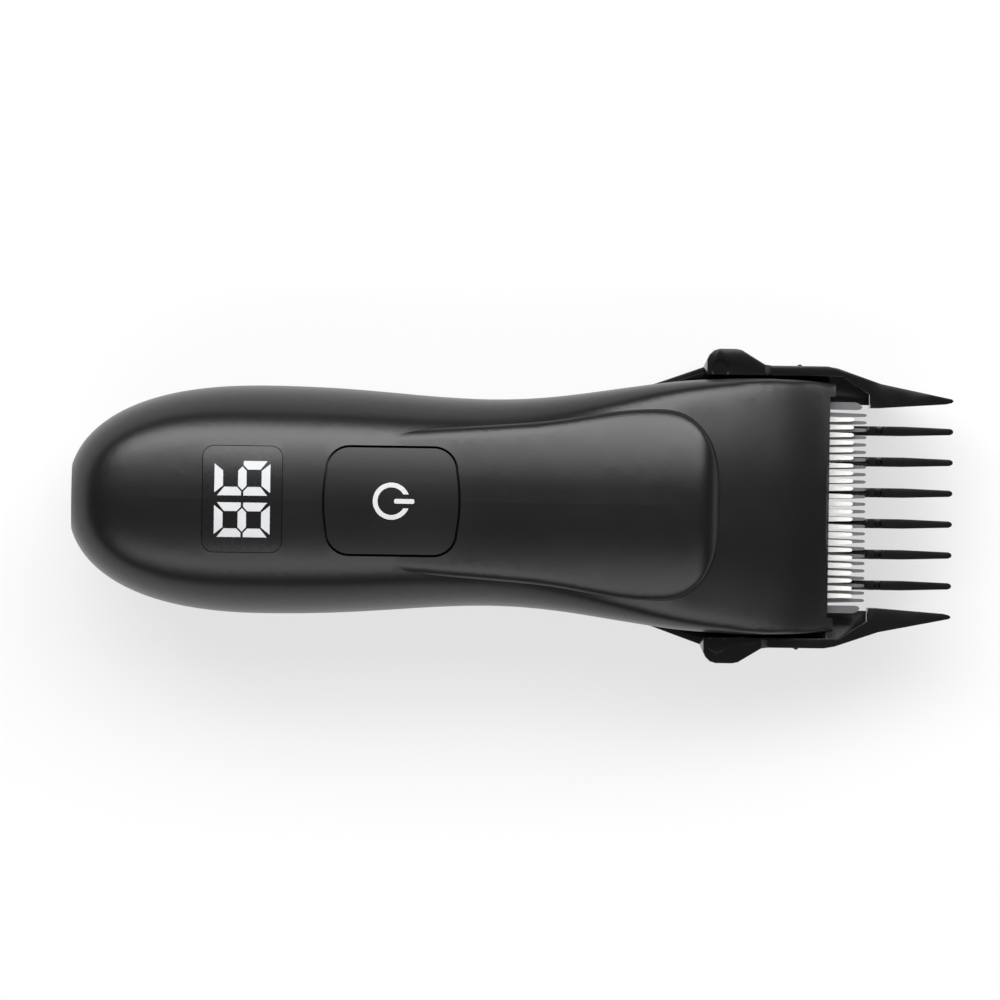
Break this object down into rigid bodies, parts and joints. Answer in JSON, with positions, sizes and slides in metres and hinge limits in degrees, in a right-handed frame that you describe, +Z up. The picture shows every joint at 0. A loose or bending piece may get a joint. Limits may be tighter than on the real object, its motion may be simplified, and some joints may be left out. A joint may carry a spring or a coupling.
{
  "type": "hair clipper",
  "caption": "Cordless hair clipper with a rounded handle, large push button, numeric display, toothed blades and a clip-on guide comb.",
  "frame": {"origin": "middle of the bounding box at the level of the surface that the clipper's back rests on", "axes": "+X from the tail to the comb tips, +Z up out of the display and button, +Y to the clipper's left seen from above with the head pointing away"},
  "size_m": [0.1586, 0.0566, 0.0372],
  "materials": {
    "soft_black": "soft-touch coat",
    "light_grey": "translucent light insert",
    "silicone": "moulded",
    "window_black": "polished",
    "module_black": "moulded",
    "board_green": "solder mask",
    "chip_black": "moulded",
    "screw_steel": "zinc plated",
    "switch_metal": "moulded",
    "cell_wrap": "shrink wrap",
    "frame_grey": "moulded",
    "nickel": "nickel plated",
    "lead_red": "extruded",
    "lead_black": "extruded",
    "can_steel": "zinc plated",
    "cap_white": "moulded",
    "cam_white": "acetal",
    "frame_black": "moulded",
    "spring_steel": "blued",
    "blade_steel": "ground",
    "ceramic": "ground zirconia",
    "comb_black": "moulded gloss"
  },
  "bodies": {
    "housing": {"front_shell": "soft_black", "back_shell": "soft_black", "button_seal": "silicone", "display_window": "window_black", "display_segments": "light_grey", "display_module": "module_black", "main_board": "board_green", "board_parts": "chip_black", "board_screws": "screw_steel", "tact_switch": "switch_metal", "battery_cell": "cell_wrap", "battery_cradle": "frame_grey", "battery_tabs": "nickel", "battery_leads": "lead_red", "motor_can": "can_steel", "motor_cap": "cap_white", "motor_sleeve": "silicone", "motor_leads": "lead_black", "motor_mount": "frame_grey", "motor_screws": "screw_steel", "blade_holder": "frame_black", "blade_spring": "spring_steel", "blade_screws": "screw_steel", "fixed_blade": "blade_steel", "charging_socket": "nickel", "socket_insert": "chip_black", "socket_gasket": "silicone", "charge_board": "board_green", "shell_screws": "screw_steel"},
    "button": {"power_button": "soft_black", "power_icon": "light_grey"},
    "eccentric": {"motor_shaft": "screw_steel", "eccentric_cam": "cam_white"},
    "cutter": {"moving_blade": "ceramic", "drive_yoke": "cam_white"},
    "comb": {"guide_comb": "comb_black"}
  },
  "joints": [
    {"name": "eccentric_spin", "type": "hinge", "parent": "housing", "child": "eccentric", "pos_m": [0.0247, 0, 0.018], "axis": [1, 0, 0], "range_deg": [-90, 90]},
    {"name": "blade_stroke", "type": "slide", "parent": "housing", "child": "cutter", "axis": [0, 1, 0], "range_m": [-0.0011, 0.0011]},
    {"name": "button_press", "type": "slide", "parent": "housing", "child": "button", "axis": [0, 0, -1], "range_m": [0, 0.0005], "stiffness_N_per_m": 900, "springref_m": -0.0006},
    {"name": "comb_slide", "type": "slide", "parent": "housing", "child": "comb", "axis": [1, 0, 0], "range_m": [0, 0.035]}
  ],
  "couplings": [
    {"joint": "eccentric_spin", "follows": "blade_stroke", "rad_per_m": -1428}
  ]
}
